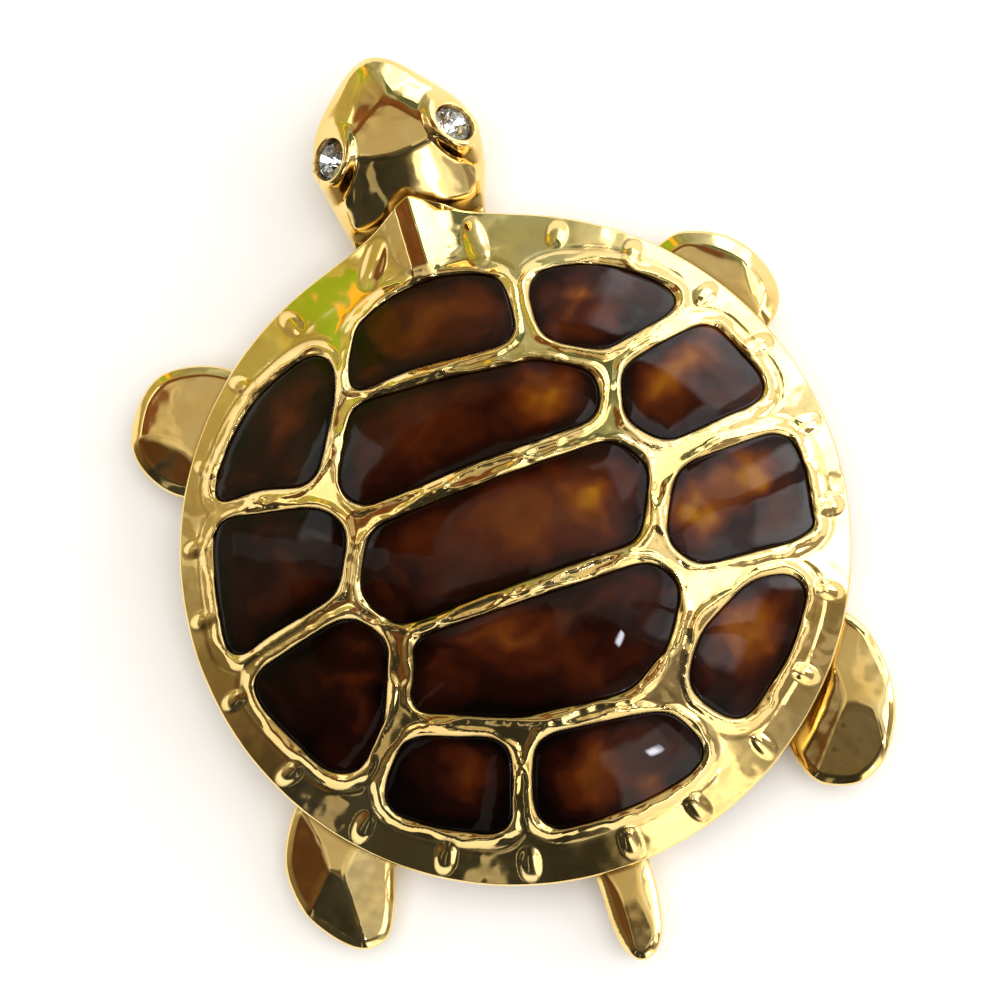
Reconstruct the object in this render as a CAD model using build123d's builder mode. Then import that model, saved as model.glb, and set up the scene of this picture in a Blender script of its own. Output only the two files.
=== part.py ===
"""Turtle brooch: a cast turtle with an enamelled shell, cut stones for eyes and a pin on the back."""
from build123d import *
from math import atan2, cos, degrees, hypot, radians, sin, sqrt
import os

# Millimetres. +Z is up out of the shell, +Y toward the head, +X to the turtle's right.
# The feet stand on z = 0, and the middle of the whole outline is at x = y = 0.

# Reach of the outline from the middle of the shell
nose_reach = 28.4
tail_reach = 23.8

# Shell
shell_radius = 18.5
rim_height = 4.0
rim_edge = 0.8
slope_width = 1.9
slope_rise = 1.3
dome_rise = 6.0
shell_wall = 1.6

# Cells: distance from the shell's outline to the cells at the side, at the head and at the tail
margin_side = 2.05
margin_head = 2.4
margin_tail = 2.9
rib_width = 1.15
cell_corner = 1.1
pocket_depth = 0.9
enamel_sink = 0.22
enamel_gap = 0.03

# Raised bars round the rim, at so many degrees clockwise from the head
bar_angles = [10.5, 24.9, 39.2, 54.3, 67.6, 84.6, 99.8, 115.1, 130.7, 145.5, 161.7, 175.4,
              193.8, 209.2, 225.0, 241.6, 258.2, 273.8, 287.0, 301.3, 318.0, 332.3, 350.8]
bar_length = 1.5
bar_width = 0.7
bar_height = 0.18
bar_root = 0.4

# Peak over the neck
peak_reach = 19.8
peak_height = 7.4
peak_root = 15.5

# Ring under the shell
seat_gap = 0.05
ring_inset = 1.7
ring_width = 4.3
ring_thickness = 0.95

# Limbs
limb_crest = 3.9
limb_round = 8.0
limb_edge = 0.7
tail_crest = 3.6
tail_drop = 2.2
tail_edge = 0.4

# Head and neck
head_turn = 1.0
head_half_width = 4.65
head_top = 7.6
head_corner = 0.7
neck_length = 5.0

# Eyes
stone_diameter = 2.3
stone_facets = 12
table_diameter = 1.25
culet_diameter = 0.2
crown_height = 0.36
girdle_height = 0.08
pavilion_depth = 0.75
stone_sink = 0.28
stone_gap = 0.05
collar_width = 0.4
collar_depth = 1.6
eye_forward = 4.8
eye_side = 3.65
eye_height = 6.4
eye_tilt = 47.0
eye_yaw = 22.5

# Pin on the back
pin_forward = 4.0
bar_bed_width = 4.0
bar_bed_thickness = 0.5
bar_bed_corner = 1.0
stem_diameter = 0.8
stem_height = 1.25
stem_point = 1.6
post_width = 1.6
post_corner = 0.4
catch_wall = 0.45
catch_length = 1.4

# Junctions of the ribs between the cells: name, degrees clockwise from the head,
# share of the shell's radius, share of the rib's width
inner_junctions = [
    ("i1", 328.0, 0.642, 0.80),
    ("i2", 24.4, 0.564, 1.00),
    ("i3", 46.2, 0.595, 1.00),
    ("i4", 59.7, 0.447, 1.05),
    ("i5", 79.6, 0.509, 1.20),
    ("i6", 110.9, 0.419, 1.00),
    ("i7", 118.5, 0.560, 1.10),
    ("i8", 150.4, 0.650, 1.15),
    ("i9", 192.6, 0.544, 0.95),
    ("i10", 228.8, 0.622, 1.05),
    ("i11", 245.5, 0.420, 0.70),
    ("i12", 265.8, 0.498, 0.95),
    ("i13", 294.0, 0.432, 1.00),
    ("i14", 301.0, 0.550, 1.00),
]
# Junctions on the border round all cells: name, degrees clockwise from the head,
# share of the border's distance, share of the rib's width
outer_junctions = [
    ("o1", 339.3, 0.905, 1.0),
    ("o2", 16.8, 0.915, 1.0),
    ("o3", 55.7, 1.0, 1.2),
    ("o4", 80.7, 1.0, 1.6),
    ("o5", 108.0, 1.0, 1.3),
    ("o6", 148.9, 1.0, 1.6),
    ("o7", 194.5, 1.0, 1.0),
    ("o8", 226.7, 1.0, 1.5),
    ("o9", 262.9, 1.0, 1.2),
    ("o10", 294.4, 1.0, 1.2),
]
# Cells: name, junctions clockwise. Where the first side is a curve along the border, its
# middle is at this share of the border's distance
cells = [
    ("enamel_front", "o1 o2 i2 i1", 0.945),
    ("enamel_right_1", "o2 o3 i3 i2", 1.0),
    ("enamel_right_2", "o3 o4 i5 i4 i3", 1.0),
    ("enamel_right_3", "o4 o5 i7 i6 i5", 1.0),
    ("enamel_right_4", "o5 o6 i8 i7", 1.0),
    ("enamel_rear", "o6 o7 i9 i8", 1.0),
    ("enamel_left_4", "o7 o8 i10 i9", 1.0),
    ("enamel_left_3", "o8 o9 i12 i11 i10", 0.98),
    ("enamel_left_2", "o9 o10 i14 i13 i12", 1.0),
    ("enamel_left_1", "o10 o1 i1 i14", 1.0),
    ("enamel_centre_1", "i1 i2 i3 i4 i13 i14", None),
    ("enamel_centre_2", "i13 i4 i5 i6 i11 i12", None),
    ("enamel_centre_3", "i11 i6 i7 i8 i9 i10", None),
]

# Outlines of the legs: degrees clockwise from the head, share of the shell's radius
legs = {
    "front_right": [(52, 0.80), (40, 0.87), (42.8, 1.04), (47, 1.11), (52.5, 1.146), (58.5, 1.14),
                    (63, 1.10), (65.6, 1.01), (65, 0.87)],
    "rear_right": [(127, 0.80), (117, 0.88), (118.8, 1.04), (123.5, 1.14), (128.6, 1.212), (133, 1.248),
                   (137.5, 1.26), (141.5, 1.23), (144.5, 1.14), (143.8, 1.04), (140.5, 0.95),
                   (137, 0.86)],
    "rear_left": [(229, 0.80), (220.5, 0.87), (217.6, 1.02), (215.7, 1.13), (215.4, 1.22), (218, 1.275),
                  (222.5, 1.278), (228, 1.247), (233.4, 1.165), (237.4, 1.02), (238, 0.88)],
    "front_left": [(309, 0.80), (298.5, 0.86), (296.2, 0.98), (296.9, 1.08), (299.9, 1.172),
                   (304, 1.217), (309.7, 1.222), (314.5, 1.18), (319, 1.05), (320, 0.88)],
}
# Outline of the tail: degrees clockwise from the head, share of the tail's reach
tail = [(178.8, 0.60), (174.2, 0.68), (173.9, 0.81), (175.4, 0.92), (177.2, 0.974), (179.5, 0.992),
        (181.4, 0.97), (182.5, 0.91), (183.0, 0.81), (184.0, 0.68)]

# Sections of the head. Way along it from the shell's edge; widest line, top and underside as
# shares of its half width; top, widest line and underside as shares of its height
head_sections = [
    # along, wide, top_wide, low_wide, top, middle, low
    (0.00, 0.84, 0.56, 0.55, 0.64, 0.42, 0.14),
    (0.20, 0.93, 0.68, 0.60, 0.90, 0.60, 0.12),
    (0.43, 1.00, 0.60, 0.62, 1.00, 0.66, 0.12),
    (0.70, 0.79, 0.33, 0.50, 0.96, 0.66, 0.17),
    (0.92, 0.40, 0.14, 0.28, 0.82, 0.60, 0.29),
    (1.00, 0.20, 0.08, 0.12, 0.68, 0.55, 0.40),
]
# Sections of the peak: way from its root to its tip, half width as a share of the shell's
# radius, keel and underside as shares of its height
peak_sections = [
    # along, wide, keel, low
    (0.00, 0.232, 0.96, 0.72),
    (0.45, 0.228, 1.00, 0.70),
    (1.00, 0.012, 0.93, 0.82),
]

# Derived sizes
shell_y = -(nose_reach - tail_reach) / 2
shell_plane = Plane((0, shell_y, 0))
shell_section = Plane.XZ.offset(-shell_y)
shell_axis = Axis((0, shell_y, 0), (0, 0, 1))
edge_top = rim_height + rim_edge
dome_base = edge_top + slope_rise
dome_top = dome_base + dome_rise
dome_radius = shell_radius - slope_width
sphere_radius = (dome_radius**2 + dome_rise**2) / (2 * dome_rise)
sphere_z = dome_top - sphere_radius
ring_top = rim_height - seat_gap
ring_radius = shell_radius - ring_inset
tail_length = tail_reach - shell_radius
tail_round = (tail_length**2 + tail_drop**2) / (2 * tail_drop)


def polar(angle, radius):
    """The point at so many degrees clockwise from the head, seen from above."""
    return (radius * sin(radians(angle)), radius * cos(radians(angle)))


def border(angle):
    """Distance from the shell's middle to the border round all cells, in one direction."""
    side = shell_radius - margin_side + rib_width / 2
    margin = margin_head if cos(radians(angle)) > 0 else margin_tail
    end = shell_radius - margin + rib_width / 2
    return 1 / hypot(sin(radians(angle)) / side, cos(radians(angle)) / end)


junctions = {name: polar(angle, share * shell_radius) for name, angle, share, _ in inner_junctions}
junctions |= {name: polar(angle, share * border(angle)) for name, angle, share, _ in outer_junctions}
half_ribs = {name: share * rib_width / 2 for name, _, _, share in inner_junctions + outer_junctions}
border_angles = {name: angle for name, angle, _, _ in outer_junctions}


def rib_side(start, end, gap):
    """Two points on the clockwise side of the rib between two junctions, moved away by a gap."""
    along = Vector(*junctions[end]) - Vector(*junctions[start])
    inward = Vector(along.Y, -along.X).normalized()
    return [Vector(*junctions[name]) + inward * (half_ribs[name] + gap) for name in (start, end)]


def border_side(name, gap):
    """Two points on the border's inner side at a junction, moved in by a gap."""
    out = Vector(*junctions[name]).normalized()
    point = Vector(*junctions[name]) - out * (rib_width / 2 + gap)
    return [point, point + Vector(out.Y, -out.X)]


def meeting_point(line, other):
    """Where two lines meet, each given by two points."""
    along = line[1] - line[0]
    across = other[1] - other[0]
    between = other[0] - line[0]
    return line[0] + along * (between.cross(across).Z / along.cross(across).Z)


def cell_face(corner_names, bulge, gap):
    """One cell's outline inside its ribs, moved in by a gap, with round corners."""
    names = corner_names.split()
    sides = [rib_side(start, end, gap) for start, end in zip(names, names[1:] + names[:1])]
    if bulge:
        starts = [border_side(names[0], gap)] + sides[1:]
        ends = [border_side(names[1], gap)] + sides[1:]
    else:
        starts = ends = sides
    corners = [meeting_point(ends[index - 1], starts[index]) for index in range(len(names))]
    with BuildSketch() as cell:
        with BuildLine():
            if bulge:
                first = border_angles[names[0]]
                middle = first + (border_angles[names[1]] - first) % 360 / 2
                distance = bulge * border(middle) - rib_width / 2 - gap
                ThreePointArc(corners[0], polar(middle, distance), corners[1])
                Polyline(*corners[1:], corners[0])
            else:
                Polyline(*corners, close=True)
        make_face()
        offset(amount=-cell_corner, mode=Mode.REPLACE)
        offset(amount=cell_corner, kind=Kind.ARC, mode=Mode.REPLACE)
    return cell.sketch


def sphere_slice(depth):
    """Half section of what lies under the dome at a depth below its crest, down to the rim's foot."""
    radius = sphere_radius - depth
    reach = sqrt(radius**2 - (rim_height - sphere_z) ** 2)
    with BuildSketch(shell_section) as section:
        with BuildLine():
            CenterArc((0, sphere_z), radius, degrees(atan2(rim_height - sphere_z, reach)),
                      90 - degrees(atan2(rim_height - sphere_z, reach)))
            Polyline((0, sphere_z + radius), (0, rim_height), (reach, rim_height))
        make_face()
    return section.sketch


def peak(gap):
    """The pointed peak over the neck, grown by a gap."""
    length = peak_reach + gap - peak_root
    with BuildPart() as solid:
        for along, wide, keel, low in peak_sections:
            plane = Plane((0, shell_y + peak_root + along * length, 0), x_dir=(-1, 0, 0), z_dir=(0, 1, 0))
            half = wide * shell_radius + gap
            bottom = low * peak_height - gap
            top = keel * peak_height + gap
            with BuildSketch(plane):
                Polygon((-half, bottom), (half, bottom), (0, top), align=None)
        loft(ruled=True)
    return solid.part


def limb(outline, reach, crest, round_radius, edge):
    """A leg or the tail: its outline raised from the floor to a domed top with a rounded edge."""
    points = [polar(angle, share * reach) for angle, share in outline]
    tip = max(points, key=lambda point: hypot(*point))
    crest_share = shell_radius / hypot(*tip)
    with BuildPart() as solid:
        with BuildSketch(shell_plane):
            with BuildLine():
                Spline(*points, periodic=True)
            make_face()
        extrude(amount=crest)
        with Locations((tip[0] * crest_share, shell_y + tip[1] * crest_share, crest - round_radius)):
            Sphere(round_radius, mode=Mode.INTERSECT)
        fillet(solid.faces().sort_by(Axis.Z)[-1].edges(), edge)
    return solid.part


# Carapace: dome with a pocket for each cell, sloped rim with its bars, peak over the neck
peak_solid = peak(0)
cell_pockets = [cell_face(names, bulge, 0) for _, names, bulge in cells]
pocket_floor = sphere_slice(pocket_depth)
hollow = sphere_slice(shell_wall)
slope_angle = degrees(atan2(slope_rise, slope_width))
slope_plane = Plane(
    origin=(0, shell_y + shell_radius - slope_width / 2, edge_top + slope_rise / 2),
    x_dir=(0, cos(radians(slope_angle)), -sin(radians(slope_angle))),
    z_dir=(0, sin(radians(slope_angle)), cos(radians(slope_angle))),
)

with BuildPart() as rim_bar:
    with BuildSketch(slope_plane.offset(-bar_root)):
        SlotOverall(bar_length, bar_width)
    extrude(amount=bar_root + bar_height)
    bar_top = rim_bar.faces().sort_by(Axis(slope_plane.origin, slope_plane.z_dir))[-1]
    fillet(bar_top.edges(), bar_height / 2)

with BuildPart() as carapace:
    with BuildSketch(shell_section):
        with BuildLine():
            dome_edge = degrees(atan2(dome_base - sphere_z, dome_radius))
            CenterArc((0, sphere_z), sphere_radius, dome_edge, 90 - dome_edge)
            Polyline((0, dome_top), (0, rim_height), (shell_radius, rim_height),
                     (shell_radius, edge_top), (dome_radius, dome_base))
        make_face()
    revolve(axis=shell_axis)
    add(peak_solid)
    with BuildSketch(shell_plane.offset(rim_height)):
        add(cell_pockets)
    extrude(amount=dome_top, mode=Mode.SUBTRACT)
    add(pocket_floor)
    revolve(axis=shell_axis)
    for angle in bar_angles:
        add(rim_bar.part.rotate(shell_axis, -angle))
    add(hollow)
    revolve(axis=shell_axis, mode=Mode.SUBTRACT)
carapace.part.label = "carapace"

# Enamel: one lens in each pocket, under the level of the ribs
enamels = []
for name, corner_names, bulge in cells:
    face = cell_face(corner_names, bulge, enamel_gap)
    with BuildPart() as enamel:
        with BuildSketch(shell_plane.offset(rim_height)):
            add(face)
        extrude(amount=dome_top)
        with Locations((0, shell_y, sphere_z)):
            Sphere(sphere_radius - enamel_sink, mode=Mode.INTERSECT)
            Sphere(sphere_radius - pocket_depth + enamel_gap, mode=Mode.SUBTRACT)
    enamel.part.label = name
    enamels.append(enamel)

# Eyes: where each stone sits on the head, with +Z out of the stone's table
head_plane = Plane((0, shell_y + shell_radius, 0)).rotated((0, 0, -head_turn))


def eye_plane(side):
    """The plane of one eye's opening, side being 1 on the turtle's right and -1 on its left."""
    place = head_plane.from_local_coords(Vector(side * eye_side, eye_forward, eye_height))
    yaw = radians(eye_yaw)
    tilt = radians(eye_tilt)
    out = Vector(side * sin(tilt) * cos(yaw), sin(tilt) * sin(yaw), cos(tilt))
    return Plane(place, z_dir=head_plane.from_local_coords(out) - head_plane.origin)


eye_planes = {"eye_stone_left": eye_plane(-1), "eye_stone_right": eye_plane(1)}

# Underbody: ring under the shell with the neck, head, legs and tail, and the stones' seats
limbs = [limb(outline, shell_radius, limb_crest, limb_round, limb_edge) for outline in legs.values()]
limbs.append(limb(tail, tail_reach, tail_crest, tail_round, tail_edge))
peak_clearance = peak(seat_gap)
stone_radius = stone_diameter / 2
seat_radius = stone_radius + stone_gap
girdle_foot = -stone_sink - girdle_height / 2
pavilion_foot = girdle_foot - pavilion_depth


def head_section(along, wide, top_wide, low_wide, top, middle, low):
    """One section across the head, with its plane."""
    place = Vector(0, seat_gap + along * (nose_reach - shell_radius - seat_gap), 0)
    plane = Plane(head_plane.from_local_coords(place), x_dir=-head_plane.x_dir, z_dir=head_plane.y_dir)
    rows = [(top_wide, top), (wide, middle), (low_wide, low)]
    right = [(share * head_half_width, level * head_top) for share, level in rows]
    left = [(-x, z) for x, z in reversed(right)]
    with BuildSketch(plane) as section:
        Polygon(*right, *left, align=None)
        fillet(section.vertices(), head_corner * wide)
    return section.sketch


head_faces = [head_section(*row) for row in head_sections]

with BuildPart() as underbody:
    with BuildSketch(shell_plane.offset(ring_top - ring_thickness)):
        Circle(ring_radius)
        Circle(ring_radius - ring_width, mode=Mode.SUBTRACT)
    extrude(amount=ring_thickness)
    add(limbs)
    extrude(head_faces[0], amount=-neck_length)
    loft(head_faces)
    with BuildSketch(shell_plane.offset(ring_top)):
        Circle(shell_radius + seat_gap)
    extrude(amount=dome_top, mode=Mode.SUBTRACT)
    add(peak_clearance, mode=Mode.SUBTRACT)
    for plane in eye_planes.values():
        with BuildSketch(plane):
            Circle(seat_radius + collar_width)
        extrude(amount=-collar_depth)
        with BuildSketch(plane.offset(girdle_foot - stone_gap)):
            Circle(seat_radius)
        extrude(amount=collar_depth, mode=Mode.SUBTRACT)
        with BuildSketch(plane.offset(girdle_foot - stone_gap)):
            Circle(seat_radius)
        with BuildSketch(plane.offset(pavilion_foot - stone_gap)):
            Circle(culet_diameter / 2 + stone_gap)
        loft(mode=Mode.SUBTRACT)
underbody.part.label = "underbody"

# Eye stones: a flat table, a ring of crown facets, a thin girdle and a ring of pavilion facets
stones = []
for name, plane in eye_planes.items():
    levels = [
        (pavilion_foot, culet_diameter / 2),
        (girdle_foot, stone_radius),
        (girdle_foot + girdle_height, stone_radius),
        (girdle_foot + girdle_height + crown_height, table_diameter / 2),
    ]
    with BuildPart() as stone:
        for level, radius in levels:
            with BuildSketch(plane.offset(level)):
                RegularPolygon(radius, stone_facets)
        loft(ruled=True)
    stone.part.label = name
    stones.append(stone)

# Pin: a bar across the ring, a post, a pointed stem and a catch, in one plain piece
pin_plane = Plane((0, shell_y + pin_forward, 0))
bed_top = ring_top - ring_thickness - seat_gap
bed_foot = bed_top - bar_bed_thickness
bed_half = sqrt((ring_radius - ring_width / 2) ** 2 - pin_forward**2)
post_place = sqrt((ring_radius - ring_width) ** 2 - pin_forward**2)
stem_radius = stem_diameter / 2
stem_axis = Axis((0, shell_y + pin_forward, stem_height), (1, 0, 0))

with BuildPart() as brooch_pin:
    with BuildSketch(pin_plane.offset(bed_foot)):
        RectangleRounded(2 * bed_half, bar_bed_width, bar_bed_corner)
    extrude(amount=bar_bed_thickness)
    with BuildSketch(pin_plane.offset(bed_foot)):
        with Locations((post_place, 0)):
            RectangleRounded(post_width, post_width, post_corner)
    extrude(amount=-(bed_foot - stem_height + stem_radius))
    with BuildSketch(Plane.XZ.offset(-shell_y - pin_forward)):
        with Locations((0, stem_height)):
            Polygon((post_place, 0), (post_place, stem_radius), (-post_place, stem_radius),
                    (-post_place - stem_point, 0), align=None)
    revolve(axis=stem_axis)
    with BuildSketch(Plane.YZ.offset(-post_place - catch_length / 2)):
        with Locations((shell_y + pin_forward, stem_height)):
            Circle(stem_radius + catch_wall)
            Rectangle(2 * stem_radius, bed_foot - stem_height, align=(Align.CENTER, Align.MIN))
    extrude(amount=catch_length)
brooch_pin.part.label = "brooch_pin"

os.makedirs("parts", exist_ok=True)
export_step(carapace.part, "parts/carapace.step")
export_step(underbody.part, "parts/underbody.step")
export_step(brooch_pin.part, "parts/brooch_pin.step")
for piece in enamels + stones:
    export_step(piece.part, f"parts/{piece.part.label}.step")
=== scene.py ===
"""Turtle brooch: cast gold-tone body, marbled enamel and cut stones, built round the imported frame."""
import bpy
import numpy as np
from math import cos, pi, radians, sin
from mathutils import Matrix, Vector
from mathutils.geometry import delaunay_2d_cdt


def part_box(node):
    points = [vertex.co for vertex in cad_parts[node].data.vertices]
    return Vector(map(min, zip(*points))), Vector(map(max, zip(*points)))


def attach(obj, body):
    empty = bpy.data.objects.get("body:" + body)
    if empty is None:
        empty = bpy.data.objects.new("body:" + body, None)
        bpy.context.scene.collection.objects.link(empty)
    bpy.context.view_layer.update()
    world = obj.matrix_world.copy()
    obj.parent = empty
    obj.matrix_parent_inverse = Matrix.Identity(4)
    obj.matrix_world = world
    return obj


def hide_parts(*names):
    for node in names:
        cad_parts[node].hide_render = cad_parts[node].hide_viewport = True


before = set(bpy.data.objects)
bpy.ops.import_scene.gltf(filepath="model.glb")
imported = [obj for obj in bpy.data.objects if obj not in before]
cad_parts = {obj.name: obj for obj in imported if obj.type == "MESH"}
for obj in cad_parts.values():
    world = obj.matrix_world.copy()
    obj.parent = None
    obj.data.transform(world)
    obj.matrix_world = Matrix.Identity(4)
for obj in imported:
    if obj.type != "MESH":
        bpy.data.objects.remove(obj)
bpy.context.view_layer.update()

# Lengths below are millimetres. Plan points are measured from the middle of the shell, with +Y
# toward the head and +X to the turtle's right. Angles on the shell are degrees clockwise from the head.
MM = 0.001
shell_low, shell_high = (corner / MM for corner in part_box("carapace"))
shell_radius = (shell_high.x - shell_low.x) / 2
shell_y = shell_low.y + shell_radius
rim_foot = shell_low.z

# Shell
slope_width = 1.9
rim_edge = 0.8
slope_rise = 1.3
dome_rise = 6.0
dome_share = 0.9
band_blend = 0.35
shell_wall = 1.6
rim_clear = 0.1
under_rim = rim_foot - rim_clear
edge_top = rim_foot + rim_edge
dome_base = edge_top + slope_rise
dome_radius = shell_radius - slope_width
sphere_radius = (dome_radius**2 + dome_rise**2) / (2 * dome_rise)
sphere_z = dome_base + dome_rise - sphere_radius

# Ribs and pockets
wall_depth = 0.36
wall_width = 0.32
crest_height = 0.15
crest_place = 0.34
crest_width = 0.18
crest_unevenness = 0.42
pocket_depth = 0.9
pocket_gap = 0.03
pocket_lip = -0.01
groove_place = 0.98
groove_depth = 0.05
groove_width = 0.13
groove_starts = (14.5, 15.5)
# Painted shade in the gold: its reach from the cell walls, and its share at the walls, round the bars and
# in the groove
wall_shade_reach = 0.12
wall_shade = 0.8
bar_shade = 0.55
groove_shade = 0.35
enamel_edge_sink = 0.17
enamel_middle_sink = 0.10
enamel_roll = 0.60
# Reach of the painted shade in from the enamel's edge
enamel_dark_edge = 0.65
lens_ripple = 0.4
outline_wander = 0.07
corner_rounds = 60

# Rolled edges of the shell, limbs and head, and how far each step of the roll turns, in degrees
shell_edge_round = 0.13
shell_edge_turns = (25, 50, 70, 90)
limb_edge_round = 0.14
limb_edge_turns = (20, 40, 60, 80)
head_edge_round = 0.35
head_edge_turns = (18, 36, 54, 72)

# Peak over the neck: overhang past the rim, then the flat strip along its keel and the flanks' fall
peak_overhang = 1.75
peak_spread = 2.0
peak_power = 1.3
peak_side = 0.1
peak_tip_round = 0.2
peak_blend = 0.8
keel_height = 7.2
keel_place = 17.0
keel_fall = 0.2
keel_start = 16.1
keel_start_bend = 1.2
keel_half = 0.44
keel_side = -0.32
keel_ridge = 0.05
keel_crease = 0.04
flank_fall = 2.9
flank_reach = 3.2
flank_bend = 0.01

# Casting: wave length and height of its unevenness, then the steps on which lines and surfaces are
# modelled, and how far inside a rolled edge their grids start
ripple_waves = [(3.4, 0.016), (1.5, 0.006), (0.8, 0.002)]
waves_of_a_length = 9
length_spread = (0.7, 1.5)
rng = np.random.default_rng(7)
line_step = 0.1
shell_step = 0.135
limb_step = 0.13
pocket_step = 0.8
lens_step = 0.3
curve_steps = 24
shell_grid_clear = 0.14
limb_grid_clear = 0.1
limb_grid_ring = 0.03


def polar(angle, radius):
    """The plan point at so many degrees clockwise from the head."""
    return radius * sin(radians(angle)), radius * cos(radians(angle))


def smooth_min(first, second, width):
    """The lower of two surfaces, with the corner between them rounded."""
    share = np.clip(0.5 + 0.5 * (second - first) / width, 0, 1)
    return second * (1 - share) + first * share - width * share * (1 - share)


def smooth_max(first, second, width):
    """The higher of two surfaces, with the corner between them rounded."""
    return -smooth_min(-first, -second, width)


def smooth_step(value, low, high):
    """0 below low, 1 above high and an even S between."""
    share = np.clip((value - low) / (high - low), 0, 1)
    return share * share * (3 - 2 * share)


# Cast ripple: seeded plane waves in all directions
waves = []
for length, height in ripple_waves:
    for direction in rng.uniform(0, pi, waves_of_a_length):
        wave_length = length * rng.uniform(*length_spread)
        waves.append((cos(direction) * 2 * pi / wave_length, sin(direction) * 2 * pi / wave_length,
                      rng.uniform(0, 2 * pi), height / waves_of_a_length**0.5))


def ripple(at):
    """Height of the casting's unevenness at plan points."""
    return sum(height * np.sin(at[:, 0] * kx + at[:, 1] * ky + phase) for kx, ky, phase, height in waves)


def closed_curve(points, step):
    """Evenly spaced points, counter-clockwise, on a smooth closed curve through the given ones."""
    points = np.array(points, float)
    before, after, later = np.roll(points, 1, 0), np.roll(points, -1, 0), np.roll(points, -2, 0)
    pieces = []
    for share in np.linspace(0, 1, curve_steps, endpoint=False):
        square, cube = share**2, share**3
        pieces.append(0.5 * (2 * points + (after - before) * share
                             + (2 * before - 5 * points + 4 * after - later) * square
                             + (3 * points - before - 3 * after + later) * cube))
    return even_steps(np.stack(pieces, 1).reshape(-1, 2), step)


def even_steps(line, step):
    """A closed line resampled at even steps and turned counter-clockwise."""
    following = np.roll(line, -1, 0)
    if np.sum(line[:, 0] * following[:, 1] - line[:, 1] * following[:, 0]) < 0:
        line = line[::-1]
    loop = np.vstack([line, line[:1]])
    along = np.concatenate([[0], np.cumsum(np.hypot(*np.diff(loop, axis=0).T))])
    count = int(along[-1] / step)
    places = np.linspace(0, along[-1], count, endpoint=False)
    return np.stack([np.interp(places, along, loop[:, axis]) for axis in (0, 1)], 1)


def normals_of(line):
    """Outward normals of a counter-clockwise closed line."""
    tangent = np.roll(line, -1, 0) - np.roll(line, 1, 0)
    tangent /= np.hypot(*tangent.T)[:, None]
    return np.stack([tangent[:, 1], -tangent[:, 0]], 1)


def rolled_edge(line, edge_round, turn_angles):
    """Lines that step in from an outline over a rounded edge, and how far each lies below the top."""
    normals = normals_of(line)
    lines = [line - normals * edge_round * (1 - cos(radians(angle))) for angle in turn_angles]
    drops = [np.full(len(line), edge_round * (1 - sin(radians(angle)))) for angle in turn_angles]
    return lines, drops


def smoothed(values, times):
    """A closed line or row of values averaged with its neighbours."""
    for _ in range(times):
        values = (np.roll(values, 1, 0) + 2 * values + np.roll(values, -1, 0)) / 4
    return values


def signed_distance(line, at):
    """Distance from plan points to a closed line, positive outside it."""
    normals = normals_of(line)
    batch = 4000
    result = np.empty(len(at))
    for start in range(0, len(at), batch):
        part = at[start:start + batch]
        gap = part[:, None] - line[None]
        nearest = np.argmin(gap[..., 0] ** 2 + gap[..., 1] ** 2, 1)
        offset = gap[np.arange(len(part)), nearest]
        result[start:start + batch] = np.sum(offset * normals[nearest], 1)
    return result


def hex_grid(low, high, step):
    """Plan points in a triangular grid over a box, its rows as far apart as even triangles are high."""
    row_share = 0.866
    xs = np.arange(low[0], high[0], step)
    ys = np.arange(low[1], high[1], step * row_share)
    grid_x, grid_y = np.meshgrid(xs, ys)
    grid_x[1::2] += step / 2
    return np.stack([grid_x.ravel(), grid_y.ravel()], 1)


def triangulated(boundary, inner_points, loops):
    """Triangles inside a boundary through all inner points, with the edges of the loops kept.

    Returns all plan points, boundary first, and the triangles."""
    points = np.vstack([boundary, inner_points])
    edges = []
    for first, count in loops:
        edges += [(first + index, first + (index + 1) % count) for index in range(count)]
    outer = list(range(len(boundary)))
    corners, _, faces, origins, _, _ = delaunay_2d_cdt([Vector(p) for p in points], edges, [outer], 1, 1e-6)
    source = [origin[0] for origin in origins]
    return points, [tuple(source[corner] for corner in face) for face in faces]


def new_object(name, data):
    """An object in the scene with a mesh, camera or lamp as its data."""
    thing = bpy.data.objects.new(name, data)
    bpy.context.scene.collection.objects.link(thing)
    return thing


def add_piece(name, corners, faces, materials, nodes, flat=False, painted_shade=None):
    """A mesh piece from millimetre corners about the shell's middle, riding on the body.

    Painted shade goes to the first corners, 0 to 1: on metal the share of painted shade in its corners and
    under the rim, and on enamel the share of painted shade along its edge."""
    mesh = bpy.data.meshes.new(name)
    placed = (np.asarray(corners, float) + (0, shell_y, 0)) * MM
    mesh.from_pydata(placed.tolist(), [], faces)
    mesh.validate()
    mesh.polygons.foreach_set("use_smooth", [not flat] * len(mesh.polygons))
    for material in materials:
        mesh.materials.append(material)
    if painted_shade is not None:
        shares = np.zeros(len(corners))
        shares[:len(painted_shade)] = painted_shade
        mesh.attributes.new("painted_shade", "FLOAT", "POINT").data.foreach_set("value", shares)
    piece = new_object(name, mesh)
    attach(piece, "root")
    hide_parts(*nodes)
    return piece


def closed_solid(top, faces, rings, hub):
    """Corners and faces of a solid: a triangulated top whose first points are its rim, rings of as
    many points below it, and one point that closes the last ring."""
    count = len(rings[0])
    corners = np.vstack([top] + rings + [[hub]])
    faces = list(faces)
    starts = [0] + [len(top) + index * count for index in range(len(rings))]
    for upper, lower in zip(starts, starts[1:]):
        for index in range(count):
            following = (index + 1) % count
            faces.append((upper + index, lower + index, lower + following, upper + following))
    last = starts[-1]
    centre = len(corners) - 1
    faces += [(last + index, centre, last + (index + 1) % count) for index in range(count)]
    return corners, faces


def with_height(plan, height):
    """Plan points with a height, one for all or one each."""
    return np.column_stack([plan, np.broadcast_to(height, len(plan))])
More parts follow.
